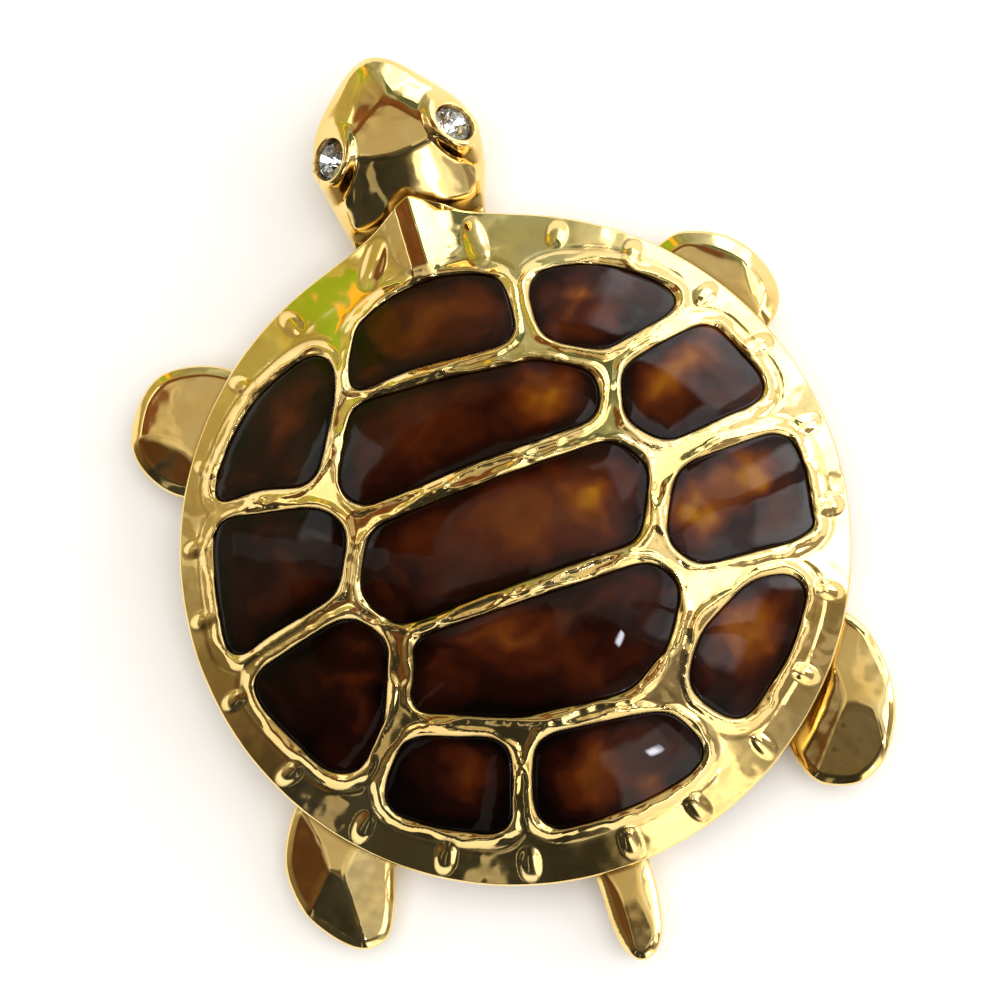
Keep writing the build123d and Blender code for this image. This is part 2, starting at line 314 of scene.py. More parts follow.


# Amber clouds in the enamel: x and y about the shell's middle, reach and strength. Marbling of the enamel's
# own, made stronger on the right, lit side as painted glow; the one at (3.6, -15.6) by the rear cell's edge
# is a painted glow of light through the enamel off the gold
amber_clouds_and_glow = [
    (4.2, 6.8, 1.6, 0.26), (-1.3, 8.2, 2.5, 0.06), (4.8, 0.3, 1.3, 0.26), (0.5, 0.8, 3.3, 0.12),
    (-0.9, -5.4, 2.8, 0.17), (-0.7, 12.2, 1.9, 0.05), (7.2, 11.6, 1.1, 0.30), (8.9, 10.5, 1.6, 0.12),
    (11.3, 6.5, 1.6, 0.28), (14.0, 8.0, 1.2, 0.30), (10.4, -1.0, 1.5, 0.31), (13.2, -0.3, 1.4, 0.31),
    (10.8, -8.0, 1.9, 0.30), (-9.9, 9.5, 1.4, 0.14), (-11.8, 2.6, 1.6, 0.10), (-5.5, -10.9, 1.4, 0.16),
    (0.9, -13.6, 2.5, 0.16), (3.6, -15.6, 1.3, 0.28)]
cloud_softness = 1.5
# Direction toward the lit side, along which the enamel is painted lighter
painted_light_side = (0.88, 0.47, 0.0)
# How much the painted shade darkens the enamel at its edge
painted_edge_shade = 0.13
# Painted shade in the gold's corners, hollows and under the rim: its colour and how much rougher it is
painted_shade_colour = (0.22, 0.12, 0.04, 1)
painted_shade_rough = 0.3


# Materials
class Graph:
    """A node tree that is filled call by call."""

    def __init__(self, tree):
        self.tree = tree
        tree.nodes.clear()

    def add(self, kind, inputs=None, **settings):
        """One node. Its inputs are values or the outputs of other nodes."""
        node = self.tree.nodes.new(kind)
        for key, value in settings.items():
            setattr(node, key, value)
        for key, value in (inputs or {}).items():
            if isinstance(value, bpy.types.NodeSocket):
                self.tree.links.new(value, node.inputs[key])
            else:
                node.inputs[key].default_value = value
        return node

    def noise(self, place, scale, detail=3.0, distortion=0.0):
        """Noise with a feature size of about one over its scale, in metres."""
        return self.add("ShaderNodeTexNoise", {"Vector": place, "Scale": scale, "Detail": detail,
                                               "Distortion": distortion}).outputs["Fac"]

    def ramp(self, value, stops):
        """Colours along a value: position, red, green, blue."""
        node = self.add("ShaderNodeValToRGB", {"Fac": value})
        elements = node.color_ramp.elements
        for index, (position, *colour) in enumerate(stops):
            element = elements[index] if index < 2 else elements.new(position)
            element.position = position
            element.color = (*colour, 1)
        return node.outputs["Color"]

    def spread(self, value, low, high, to_low, to_high):
        """A value mapped from one range to another."""
        return self.add("ShaderNodeMapRange", {"Value": value, "From Min": low, "From Max": high,
                                               "To Min": to_low, "To Max": to_high}).outputs["Result"]

    def maths(self, operation, first, second=0.0):
        """One sum of two numbers."""
        return self.add("ShaderNodeMath", {0: first, 1: second}, operation=operation).outputs[0]

    def mixed(self, share, first, second):
        """Two colours mixed by a share."""
        return self.add("ShaderNodeMix", {0: share, 6: first, 7: second}, data_type="RGBA").outputs[2]

    def surface(self, kind, inputs, output="ShaderNodeOutputMaterial"):
        """The shader that the tree ends in."""
        self.add(output, {"Surface": self.add(kind, inputs).outputs[0]})


def new_material(name):
    """A material with an empty tree."""
    material = bpy.data.materials.new(name)
    material.use_nodes = True
    return material, Graph(material.node_tree)


def gold_material(name, grain):
    """Polished gold-tone plate over a casting: warm patches, fine orange peel, worn sheen, and painted
    shade, darker and rougher, in its corners and under the rim.
    """
    material, graph = new_material(name)
    place = graph.add("ShaderNodeTexCoord").outputs["Object"]
    patches = graph.noise(place, 260.0, 4.0, 0.6)
    colour = graph.ramp(patches, [(0.30, 0.88, 0.61, 0.21), (0.52, 0.94, 0.70, 0.28),
                                  (0.72, 0.97, 0.77, 0.36)])
    # Painted shade from the mesh attribute: a darker colour, and rougher there
    painted_shade = graph.add("ShaderNodeAttribute", attribute_name="painted_shade").outputs["Fac"]
    colour = graph.mixed(painted_shade, colour, painted_shade_colour)
    rough = graph.spread(graph.noise(place, 900.0, 5.0), 0.35, 0.70, 0.04, 0.13)
    rough = graph.maths("ADD", rough, graph.maths("MULTIPLY", painted_shade, painted_shade_rough))
    coarse = graph.noise(place, 900.0, 2.0)
    fine = graph.noise(place, 5200.0, 2.0)
    height = graph.maths("ADD", coarse, graph.maths("MULTIPLY", fine, 0.12))
    bump = graph.add("ShaderNodeBump", {"Height": height, "Strength": 1.0, "Distance": grain})
    graph.surface("ShaderNodeBsdfPrincipled", {
        "Base Color": colour, "Metallic": 1.0, "Roughness": rough, "Normal": bump.outputs["Normal"]})
    return material


def enamel_material():
    """Tortoiseshell enamel: near black, with red-brown veils and amber clouds in its depth; painted lighter
    toward the lit side, with painted glow in some clouds and painted shade along its edge.
    """
    material, graph = new_material("tortoiseshell_enamel")
    place = graph.add("ShaderNodeTexCoord").outputs["Object"]
    swirl = graph.add("ShaderNodeTexNoise", {"Vector": place, "Scale": 330.0, "Detail": 2.0})
    centred = graph.add("ShaderNodeVectorMath", {0: swirl.outputs["Color"], 1: (0.5, 0.5, 0.5)},
                        operation="SUBTRACT").outputs["Vector"]
    bent = graph.add("ShaderNodeVectorMath", {0: centred, 1: (0.0045, 0.0045, 0.0), 2: place},
                     operation="MULTIPLY_ADD").outputs["Vector"]
    plan = graph.add("ShaderNodeVectorMath", {0: bent, 1: (1.0, 1.0, 0.0)},
                     operation="MULTIPLY").outputs["Vector"]
    # Enamel painted lighter toward the lit side
    along = graph.add("ShaderNodeVectorMath", {0: place, 1: painted_light_side}, operation="DOT_PRODUCT")
    level = graph.spread(along.outputs["Value"], -0.016, 0.016, 0.06, 0.20)
    level = graph.maths("ADD", level, graph.maths("MULTIPLY", graph.noise(bent, 200.0, 2.0, 0.6), 0.50))
    level = graph.maths("ADD", level, graph.maths("MULTIPLY", graph.noise(bent, 700.0, 3.0, 0.6), 0.10))
    # Painted shade along the enamel's edge
    edge = graph.add("ShaderNodeAttribute", attribute_name="painted_shade").outputs["Fac"]
    level = graph.maths("SUBTRACT", level, graph.maths("MULTIPLY", edge, painted_edge_shade))
    # Amber clouds, the stronger ones on the lit side and at the rear cell's edge painted glow
    for x, y, reach, strength in amber_clouds_and_glow:
        middle = (x * MM, (y + shell_y) * MM, 0.0)
        away = graph.add("ShaderNodeVectorMath", {0: plan, 1: middle}, operation="DISTANCE")
        glow = graph.add("ShaderNodeMapRange", {
            "Value": away.outputs["Value"], "From Min": cloud_softness * reach * MM, "From Max": 0.0,
            "To Min": 0.0, "To Max": strength}, interpolation_type="SMOOTHSTEP")
        level = graph.maths("ADD", level, glow.outputs["Result"])
    colour = graph.ramp(level, [
        (0.25, 0.0017, 0.0005, 0.0003), (0.38, 0.012, 0.0020, 0.0008), (0.50, 0.048, 0.0085, 0.0018),
        (0.64, 0.125, 0.031, 0.0030), (0.84, 0.300, 0.125, 0.0050)])
    graph.surface("ShaderNodeBsdfPrincipled", {
        "Base Color": colour, "Roughness": 0.4, "Specular IOR Level": 0.0, "Coat Weight": 1.0,
        "Coat Roughness": 0.012, "Coat IOR": 1.31})
    return material


def stone_material():
    """Clear cut glass."""
    material, graph = new_material("clear_stone")
    graph.surface("ShaderNodeBsdfPrincipled", {
        "Base Color": (0.98, 0.99, 1.0, 1), "Roughness": 0.0, "IOR": 1.58, "Transmission Weight": 1.0})
    return material


def foil_material():
    """Silvered foil on the back of a stone."""
    material, graph = new_material("stone_foil")
    place = graph.add("ShaderNodeTexCoord").outputs["Object"]
    rough = graph.spread(graph.noise(place, 4000.0), 0.3, 0.7, 0.02, 0.12)
    graph.surface("ShaderNodeBsdfPrincipled", {
        "Base Color": (0.93, 0.94, 0.96, 1), "Metallic": 1.0, "Roughness": rough})
    return material


gold = gold_material("gold_tone", 0.000006)
gold_limbs = gold_material("gold_tone_limbs", 0.000004)
enamel = enamel_material()
clear_stone = stone_material()
foil = foil_material()

# Cell outlines, from the frame's enamel lenses
lens_nodes = sorted(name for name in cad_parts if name.startswith("enamel_"))


def node_outline(name):
    """The plan outline of a convex CAD node, about the shell's middle."""
    corners = np.array([vertex.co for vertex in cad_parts[name].data.vertices]) / MM
    plan = corners[:, :2] - (0, shell_y)
    order = np.lexsort((plan[:, 1], plan[:, 0]))
    plan = plan[order]
    chains = []
    for run in (plan, plan[::-1]):
        chain = []
        for point in run:
            while len(chain) > 1 and turn(chain[-2], chain[-1], point) <= 0:
                chain.pop()
            chain.append(point)
        chains += chain[:-1]
    return np.array(chains)


def turn(first, second, third):
    """Above zero where three plan points turn left."""
    return (second[0] - first[0]) * (third[1] - first[1]) - (second[1] - first[1]) * (third[0] - first[0])


# Corners that the casting draws out or cuts off: place, shift and reach
corner_pulls = {
    "enamel_left_1": [((-14.0, 7.7), (-0.78, -0.52), 1.3)],
    "enamel_left_2": [((-15.7, -0.8), (-0.34, -0.34), 1.2)],
    "enamel_left_3": [((-12.3, -9.4), (0.15, 0.32), 1.2)],
    "enamel_right_1": [((12.0, 10.3), (0.37, -0.09), 1.0)],
    "enamel_right_3": [((15.5, -4.3), (0.30, 0.21), 1.0)],
    "enamel_right_4": [((9.5, -5.7), (0.48, -0.86), 1.7)],
    "enamel_centre_3": [((5.7, -9.6), (-0.35, 0.65), 1.5), ((-7.2, -5.1), (0.5, -0.17), 1.5)],
    "enamel_front": [((-5.1, 11.1), (-0.49, -0.55), 1.2)],
}
cell_lines = {}
for name in lens_nodes:
    line = smoothed(even_steps(node_outline(name), line_step), corner_rounds)
    along = np.linspace(0, 2 * pi, len(line), endpoint=False)
    sway = sum(np.sin(order * along + rng.uniform(0, 2 * pi)) / order for order in (3, 5, 7))
    line = line + normals_of(line) * (sway * outline_wander)[:, None]
    for place, shift, reach in corner_pulls.get(name, []):
        near = np.exp(-np.sum((line - place) ** 2, 1) / reach**2)
        line = line + near[:, None] * shift
    cell_lines[name] = line


def cell_distances(at):
    """Distances from plan points to the nearest and the second nearest cell."""
    distances = np.stack([signed_distance(line, at) for line in cell_lines.values()])
    distances.sort(axis=0)
    return distances[0], distances[1]


# Raised bars: degrees clockwise from the head, radius of the middle, height, slant in degrees,
# length and width
bars = [
    (10.2, 16.8, 0.24, -10, 3.2, 1.35), (24.9, 17.42, 0.22, 0, 1.75, 1.15),
    (39.2, 17.42, 0.26, -14, 1.8, 1.1), (54.3, 17.42, 0.22, 4, 1.75, 1.1),
    (67.6, 17.42, 0.26, 6, 1.8, 1.15), (84.6, 17.42, 0.18, 0, 1.7, 1.0),
    (99.8, 17.42, 0.26, -5, 1.75, 1.2), (115.1, 17.42, 0.26, 5, 1.75, 1.1),
    (130.7, 17.42, 0.24, 0, 1.75, 1.0), (145.5, 17.42, 0.20, 6, 1.75, 1.0),
    (161.7, 17.40, 0.24, -6, 1.8, 1.2), (175.4, 17.38, 0.26, 4, 1.85, 1.15),
    (193.8, 17.32, 0.26, 0, 2.0, 1.25), (209.2, 17.32, 0.28, 3, 2.0, 1.2),
    (225.0, 17.36, 0.26, 0, 1.95, 1.15), (241.6, 17.42, 0.23, 12, 1.8, 1.05),
    (258.2, 17.42, 0.19, 0, 1.7, 1.0), (273.8, 17.42, 0.17, -6, 1.7, 0.95),
    (287.0, 17.42, 0.17, -18, 1.7, 0.95), (301.3, 17.42, 0.17, 10, 1.7, 0.9),
    (318.0, 17.42, 0.19, -8, 1.75, 1.0), (332.3, 17.40, 0.20, 0, 1.8, 1.1),
    (350.7, 17.35, 0.24, 40, 3.2, 1.35)]
# Outline power, height at which a bar has all of the painted shade, width of its foot and of its painted
# shade line
bar_power = 2.3
bar_full_height = 0.28
bar_foot = 0.05
bar_line = 0.045


def bar_share(at, angle, radius, slant, length, width):
    """0 in the middle of a raised bar and 1 on its oval outline."""
    along = np.array(polar(angle + slant, 1.0))
    across = np.array([along[1], -along[0]])
    offset = at - polar(angle, radius)
    past = np.abs(offset @ along) / (length / 2)
    aside = np.abs(offset @ across) / (width / 2)
    return (past**bar_power + aside**bar_power) ** (1 / bar_power)


def bar_relief(at):
    """Height of the raised bars on the rim, and the share of painted shade along their outlines."""
    total = np.zeros(len(at))
    painted_shade = np.zeros(len(at))
    for angle, radius, height, slant, length, width in bars:
        share = bar_share(at, angle, radius, slant, length, width)
        total = smooth_max(total, height * (1 - share**2), bar_foot)
        outline = np.exp(-(((share - 1.0) * width / 2 / bar_line) ** 2))
        painted_shade = np.maximum(painted_shade, outline * height / bar_full_height)
    return total, painted_shade


def dome_height(radius, sink=0.0):
    """Height of the dome's sphere, or of one a sink deeper in, level past a share of its radius."""
    deep_radius = sphere_radius - sink
    return sphere_z + np.sqrt(deep_radius**2 - np.minimum(radius, dome_share * deep_radius) ** 2)


def overhang(x):
    """How far the peak stands out past the round rim."""
    aside = np.sqrt((x - peak_side) ** 2 + peak_tip_round**2)
    return peak_overhang * np.exp(-((aside / peak_spread) ** peak_power))


def peak_relief(at):
    """The peak's own surface: a keel with hollow flanks."""
    x, y = at.T
    keel = keel_height - keel_fall * (y - keel_place) - keel_start_bend * np.maximum(keel_start - y, 0) ** 2
    from_keel = np.abs(x - keel_side)
    aside = smooth_max(from_keel - keel_half, keel_ridge * from_keel, keel_crease)
    return keel - flank_fall * (1 - np.exp(-aside / flank_reach)) - flank_bend * aside**2


def shell_height(at, nearest, second):
    """Height of the shell's metal outside the cells, and its painted shade."""
    radius = np.hypot(*at.T)
    band = edge_top + slope_rise * (shell_radius - radius) / slope_width
    on_band = smooth_step(radius, dome_radius - band_blend, dome_radius + band_blend)
    base = dome_height(radius) * (1 - on_band) + band * on_band
    uneven = 1 + crest_unevenness * ripple(at[:, ::-1]) / ripple_waves[0][1]
    crest = sum(uneven * np.exp(-(((gap - crest_place * uneven) / crest_width) ** 2))
                for gap in (nearest, second))
    short = np.clip(1 - nearest / wall_width, 0, 1)
    wall = wall_depth * (np.sqrt(1 - short**2) - 1)
    in_groove = np.exp(-(((nearest - groove_place) / groove_width) ** 2))
    in_groove *= smooth_step(radius, *groove_starts)
    surface = base + crest_height * crest + wall - groove_depth * in_groove
    surface = smooth_max(surface, peak_relief(at), peak_blend)
    bar_height, round_bars = bar_relief(at)
    # Painted shade at the cell walls, in the groove and round the bars
    at_wall = np.exp(-((nearest / wall_shade_reach) ** 2))
    painted_shade = np.maximum(wall_shade * at_wall, groove_shade * in_groove)
    return surface + bar_height + ripple(at), np.maximum(bar_shade * round_bars, painted_shade)


# The shell's outline, the stretch over which its front half takes on the peak, and the rings of
# corners inside its rolled edge and outside each cell, where the first two make the pocket's wall
rim_corners = 1100
front_stretch = (0, 8)
shell_rim_rings = (0.02, 0.08)
shell_cell_rings = (pocket_lip, pocket_gap, 0.055, 0.085, 0.12, 0.16, 0.21, 0.27)
shell_cell_clear = 0.05
pocket_grid_start = -0.4
shell_grid_box = ((-19, -19), (19, 20.5))
# The shell's underside: radii of its rings, and how far the peak's lower edge rises with its overhang
hollow_radii = (17.6, 17.3, 16.4, 14.5, 12, 9, 6, 3)
lifted_between = (0.05, 0.9)
peak_lift = (2.0, 1.95)
foot_chamfer = (0.12, 0.1)
# Rings of corners inside the enamel's edge, where its grid starts, and the rings of its underside as
# shares of its outline
lens_rings = (0.05, 0.11, 0.18, 0.27, 0.38, 0.52, 0.68)
lens_grid_start = 0.8
lens_floor_shares = (1.0, 0.5)


def build_shell():
    """The cast shell: ribs, pockets, sloped rim with bars, peak and hollow underside."""
    angles = np.linspace(0, 2 * pi, rim_corners, endpoint=False)
    line = np.stack([np.cos(angles), np.sin(angles)], 1) * shell_radius
    front = smooth_step(line[:, 1], *front_stretch)
    line *= (1 + overhang(line[:, 0]) * front / shell_radius)[:, None]
    normals = normals_of(line)

    sets, drops = rolled_edge(line, shell_edge_round, shell_edge_turns)
    for beyond in shell_rim_rings:
        sets.append(line - normals * (shell_edge_round + beyond))
        drops.append(np.zeros(len(line)))
    gaps = [np.full(len(line), np.nan) for _ in sets]
    loops = []
    for cell in cell_lines.values():
        cell_normals = normals_of(cell)
        for gap in shell_cell_rings:
            if gap <= pocket_gap:
                loops.append((len(line) + sum(len(points) for points in sets), len(cell)))
            sets.append(cell + cell_normals * gap)
            drops.append(np.zeros(len(cell)))
            gaps.append(np.full(len(cell), gap))

    fine = hex_grid(*shell_grid_box, shell_step)
    fine = fine[signed_distance(line, fine) < -shell_edge_round - shell_grid_clear]
    coarse = hex_grid(*shell_grid_box, pocket_step)
    for points in (fine[cell_distances(fine)[0] > shell_cell_rings[-1] + shell_cell_clear],
                   coarse[cell_distances(coarse)[0] < pocket_grid_start]):
        sets.append(points)
        drops.append(np.zeros(len(points)))
        gaps.append(np.full(len(points), np.nan))

    plan, faces = triangulated(line, np.vstack(sets), loops)
    drop = np.concatenate([np.full(len(line), shell_edge_round)] + drops)
    known = np.concatenate([np.full(len(line), np.nan)] + gaps)
    nearest, second = cell_distances(plan)
    nearest = np.where(np.isnan(known), nearest, known)
    height, painted_shade = shell_height(plan, np.maximum(nearest, 0), second)
    height = np.where(nearest < 0, dome_height(np.hypot(*plan.T), pocket_depth), height - drop)

    lifted = smooth_step(np.hypot(*line.T) - shell_radius, *lifted_between)
    chamfer_up, chamfer_in = foot_chamfer
    rings = [with_height(line, rim_foot + chamfer_up + peak_lift[0] * lifted),
             with_height(line - normals * chamfer_in, rim_foot + peak_lift[1] * lifted)]
    circle = line / np.hypot(*line.T)[:, None]
    for radius in hollow_radii:
        rings.append(with_height(circle * radius, max(rim_foot, dome_height(radius, shell_wall))))
    hub = (0, 0, dome_height(0, shell_wall))
    corners, faces = closed_solid(with_height(plan, height), faces, rings, hub)
    return add_piece("carapace_shell", corners, faces, [gold], ["carapace"], painted_shade=painted_shade)


def build_lens(node):
    """One cell's enamel: a lens that rolls off at its edge."""
    line = cell_lines[node]
    normals = normals_of(line)
    sets = []
    gaps = []
    for gap in lens_rings:
        sets.append(line[::2] - normals[::2] * gap)
        gaps.append(np.full(len(sets[-1]), gap))
    grid = hex_grid(line.min(0), line.max(0), lens_step)
    inside = -signed_distance(line, grid)
    deep = inside > lens_grid_start
    sets.append(grid[deep])
    gaps.append(inside[deep])
    plan, faces = triangulated(line, np.vstack(sets), [])
    inset = np.concatenate([np.zeros(len(line))] + gaps)
    sink = enamel_middle_sink + (enamel_edge_sink - enamel_middle_sink) * np.exp(-inset / enamel_roll)
    top = dome_height(np.hypot(*plan.T)) - sink + lens_ripple * ripple(plan)
    floor_sink = pocket_depth - pocket_gap
    middle = line.mean(0)
    rings = []
    for share in lens_floor_shares:
        inner = middle + (line - middle) * share
        rings.append(with_height(inner, dome_height(np.hypot(*inner.T), floor_sink)))
    hub = (*middle, dome_height(np.hypot(*middle), floor_sink))
    corners, faces = closed_solid(with_height(plan, top), faces, rings, hub)
    # Painted shade along the enamel's edge, strongest at the outline
    dark = np.exp(-((inset / enamel_dark_edge) ** 2))
    return add_piece(f"{node}_lens", corners, faces, [enamel], [node], painted_shade=dark)


# Limbs. Outline as degrees clockwise from the head and share of the shell's radius; height of the
# crest and its place; facets as the way they face, how steep they are and how far from the crest they
# start; width and slope of the bevel round them
limbs = {
    "leg_front_right": dict(
        outline=[(52, 0.80), (40, 0.87), (42.8, 1.04), (47, 1.11), (52.5, 1.146), (58.5, 1.14),
                 (63, 1.10), (65.6, 1.01), (65, 0.87)],
        crest=3.85, top=(54, 1.05), facets=[(37, 0.34, 0.45), (66, 0.10, 0.0), (92, 0.5, 0.95)],
        bevel=0.85, slope=0.50),
    "leg_rear_right": dict(
        outline=[(127, 0.80), (117, 0.88), (118.8, 1.04), (123.5, 1.14), (128.6, 1.212), (133, 1.248),
                 (137.5, 1.26), (141.5, 1.23), (144.5, 1.14), (143.8, 1.04), (140.5, 0.95), (137, 0.86)],
        crest=3.85, top=(130, 1.12),
        facets=[(80, 0.14, 0.0), (205, 0.20, 0.4), (276, 0.36, 1.0), (122, 0.38, 0.8)],
        bevel=0.40, slope=0.50),
    "leg_rear_left": dict(
        outline=[(229, 0.80), (220.5, 0.87), (217.6, 1.02), (215.7, 1.13), (215.4, 1.22), (218, 1.275),
                 (222.5, 1.278), (228, 1.247), (233.4, 1.165), (237.4, 1.02), (238, 0.88)],
        crest=3.80, top=(227, 1.10), facets=[(272, 0.42, 0.1), (217, 0.28, 0.0), (128, 0.36, 0.7)],
        bevel=0.40, slope=0.40),
    "leg_front_left": dict(
        outline=[(309, 0.80), (298.5, 0.86), (296.2, 0.98), (296.9, 1.08), (299.9, 1.172), (304, 1.217),
                 (309.7, 1.222), (314.5, 1.18), (319, 1.05), (320, 0.88)],
        crest=3.85, top=(308, 1.09), facets=[(300, 0.10, 0.0), (290, 0.42, 1.5), (225, 0.30, 1.1)],
        bevel=0.55, slope=0.50),
    "tail": dict(
        outline=[(178.8, 0.772), (174.2, 0.875), (173.9, 1.042), (175.4, 1.184), (177.2, 1.253),
                 (179.5, 1.276), (181.4, 1.248), (182.5, 1.171), (183.0, 1.042), (184.0, 0.875)],
        crest=3.60, top=(178.5, 1.1), facets=[(178, 0.09, 0.0), (262, 0.5, 0.55), (95, 0.4, 0.5)],
        bevel=0.40, slope=0.50),
}
limb_dome = 26.0
facet_crease = 0.10
bevel_crease = 0.05
limb_ripple = 0.6
# Painted shade on the limbs under the rim, and the distances past the rim between which it ends
limb_shade = 0.8
limb_shade_end = (-0.1, 0.35)
# From a limb's outline down to its flat foot: how far in each ring lies and its height
limb_rings = [(0.12, 2.2), (0.26, 0.5), (0.30, 0.12), (0.42, 0.0), (0.56, 0.0)]


def build_limb(name, outline, crest, top, facets, bevel, slope):
    """A leg or the tail: soft facets with a bevel round them, a short wall and a flat foot."""
    line = closed_curve([polar(angle, share * shell_radius) for angle, share in outline], line_step)
    normals = normals_of(line)
    sets, drops = rolled_edge(line, limb_edge_round, limb_edge_turns)
    grid = hex_grid(line.min(0), line.max(0), limb_step)
    grid = grid[signed_distance(line, grid) < -limb_edge_round - limb_grid_clear]
    for points in (line - normals * (limb_edge_round + limb_grid_ring), grid):
        sets.append(points)
        drops.append(np.zeros(len(points)))
    plan, faces = triangulated(line, np.vstack(sets), [])
    drop = np.concatenate([np.full(len(line), limb_edge_round)] + drops)

    angle, share = top
    offset = plan - polar(angle, share * shell_radius)
    plateau = crest - np.sum(offset**2, 1) / (2 * limb_dome)
    for facing, steepness, start in facets:
        past = offset @ np.array(polar(facing, 1.0)) - start
        plateau = smooth_min(plateau, crest - steepness * past, facet_crease)
    inset = -signed_distance(line, plan)
    height = smooth_min(plateau, plateau - slope * (bevel - inset), bevel_crease)
    height = np.minimum(height + limb_ripple * ripple(plan), under_rim) - drop
    # Painted shade where the limb passes under the rim
    painted_shade = limb_shade * (1 - smooth_step(np.hypot(*plan.T) - shell_radius, *limb_shade_end))

    rings = [with_height(line - normals * draw_in, z) for draw_in, z in limb_rings]
    hub = (*line.mean(0), 0.0)
    corners, faces = closed_solid(with_height(plan, height), faces, rings, hub)
    return add_piece(name, corners, faces, [gold_limbs], ["underbody"], painted_shade=painted_shade)


# The flat ring under the shell
ring_inner = 12.5
ring_outer = 16.8
ring_low = 3.0
ring_high = 3.95
ring_ease = 0.1
ring_count = 160


def build_ring():
    """The flat ring that carries the limbs, with eased edges."""
    profile = [(ring_inner, ring_low + ring_ease), (ring_inner + ring_ease, ring_low),
               (ring_outer - ring_ease, ring_low), (ring_outer, ring_low + ring_ease),
               (ring_outer, ring_high - ring_ease), (ring_outer - ring_ease, ring_high),
               (ring_inner + ring_ease, ring_high), (ring_inner, ring_high - ring_ease)]
    size = len(profile)
    corners = []
    faces = []
    for index in range(ring_count):
        angle = 2 * pi * index / ring_count
        corners += [(radius * cos(angle), radius * sin(angle), z) for radius, z in profile]
        here, following = index * size, (index + 1) % ring_count * size
        for place in range(size):
            beyond = (place + 1) % size
            faces.append((here + place, following + place, following + beyond, here + beyond))
    return add_piece("ring", corners, faces, [gold], ["underbody"])


# Head: silhouette, the flat of the forehead, and the crown round it that takes in the muzzle's top,
# as plan points
head_outline = [
    (0.1, 28.4), (-1.0, 27.95), (-1.9, 27.25), (-3.35, 25.8), (-4.2, 24.4), (-4.42, 23.2), (-4.35, 22.0),
    (-4.05, 20.5), (-3.7, 18.9), (-3.5, 17.2), (-2.0, 15.9), (0.0, 15.6), (2.0, 15.9), (3.7, 17.2),
    (3.9, 18.6), (4.3, 19.8), (4.75, 21.2), (4.95, 22.7), (4.5, 24.4), (3.35, 25.95), (1.95, 27.45),
    (1.1, 28.1)]
forehead_outline = [
    (0.3, 25.5), (-1.9, 24.05), (-1.95, 22.8), (-2.2, 21.9), (-2.8, 20.7), (-2.8, 19.2), (-2.4, 16.2),
    (2.6, 16.2), (3.2, 18.8), (3.6, 20.3), (3.4, 21.4), (2.9, 22.1), (2.45, 23.1), (1.55, 24.35)]
crown_outline = [
    (0.14, 27.3), (-0.7, 26.3), (-1.3, 25.4), (-2.35, 23.6), (-2.3, 22.9), (-2.55, 21.9), (-3.05, 20.7),
    (-3.1, 19.2), (-2.7, 16.0), (2.8, 16.0), (3.4, 18.8), (3.85, 20.3), (3.65, 21.5), (3.1, 22.4),
    (2.75, 23.4), (2.2, 24.3), (0.75, 25.7)]
outline_rounds = 3
crease_step = 0.04
crease_rounds = 8

# Top of the head: forehead, and the nape's two planes as height, place and rise toward the head
forehead_height = 7.34
forehead_curve = 0.018
forehead_x, forehead_y = 0.4, 23.0
nape_planes = [(7.25, 22.3, 0.70), (5.0, 19.3, 1.8)]
nape_curve = 0.07
top_crease = 0.2
# Slope outside the flat of the forehead, and what facets outside the crown add to it: where each
# starts, measured out from the crown, and how much steeper it is
bevel_slope = 0.20
brow_facets = [(0.0, 0.15), (0.38, 0.23), (1.05, 0.13)]
brow_crease = 0.03
head_lowest = 3.3
# Painted shade on the neck under the rim, and the distances past the rim between which it ends
neck_shade = 0.85
neck_shade_end = (0.1, 0.9)
# Underside: point that it is drawn in to, and its rings' reach from there, as a share of the
# outline's, their share of the outline's height and what is added to it
head_hub = np.array((0.2, 22.0, 0.95))
head_rings = [(0.99, 0.80, 0.2), (0.95, 0.55, 0.4), (0.86, 0.30, 0.7), (0.75, 0.12, 0.85),
              (0.62, 0.0, 0.95), (0.30, 0.0, 0.95)]

# Eyes: place of their middles before the head's turn, and the way that they look
eye_forward = 4.8
eye_side = 3.65
eye_shift = (-0.2, 0.03)
eye_height = 6.60
eye_tilt = 45.0
eye_yaw = 22.5
head_turn = 1.0
# Collar round a stone: radius, reach of the swell round it, least metal outside it, gap to the grid
collar_radius = 1.32
collar_swell = 1.1
collar_margin = 0.20
collar_clear = 0.06
seat_corners = 72
# Section of an eye's collar and seat: distance from the eye's axis, height along it
seat_profile = [(1.30, 0.0), (1.25, -0.005), (1.21, -0.03), (1.19, -0.08), (1.18, -0.16), (1.17, -0.36),
                (1.10, -0.38), (0.7, -0.75), (0.2, -1.2)]
# Depth along the eye's axis below which a seat's corners get full painted shade
seat_shade_below = -0.05


def eye_frame(side):
    """An eye's middle and its three axes, the last one out of the stone."""
    turned = Matrix.Rotation(radians(-head_turn), 3, "Z")
    middle = turned @ Vector((side * eye_side, shell_radius + eye_forward, eye_height))
    middle += Vector((*eye_shift, 0))
    yaw, tilt = radians(eye_yaw), radians(eye_tilt)
    out = turned @ Vector((side * sin(tilt) * cos(yaw), sin(tilt) * sin(yaw), cos(tilt)))
    across = out.cross(Vector((0, 0, 1))).normalized()
    return np.array(middle), np.array(across), np.array(out.cross(across)), np.array(out)


eyes = {"eye_stone_left": eye_frame(-1), "eye_stone_right": eye_frame(1)}


def in_eye_plane(at, middle, across, up):
    """Distance of plan points from an eye's axis, measured in the stone's plane, and its height there."""
    ground = np.stack([across[:2], up[:2]], 1)
    local = (at - middle[:2]) @ np.linalg.inv(ground).T
    return np.hypot(*local.T), middle[2] + local @ np.array([across[2], up[2]])


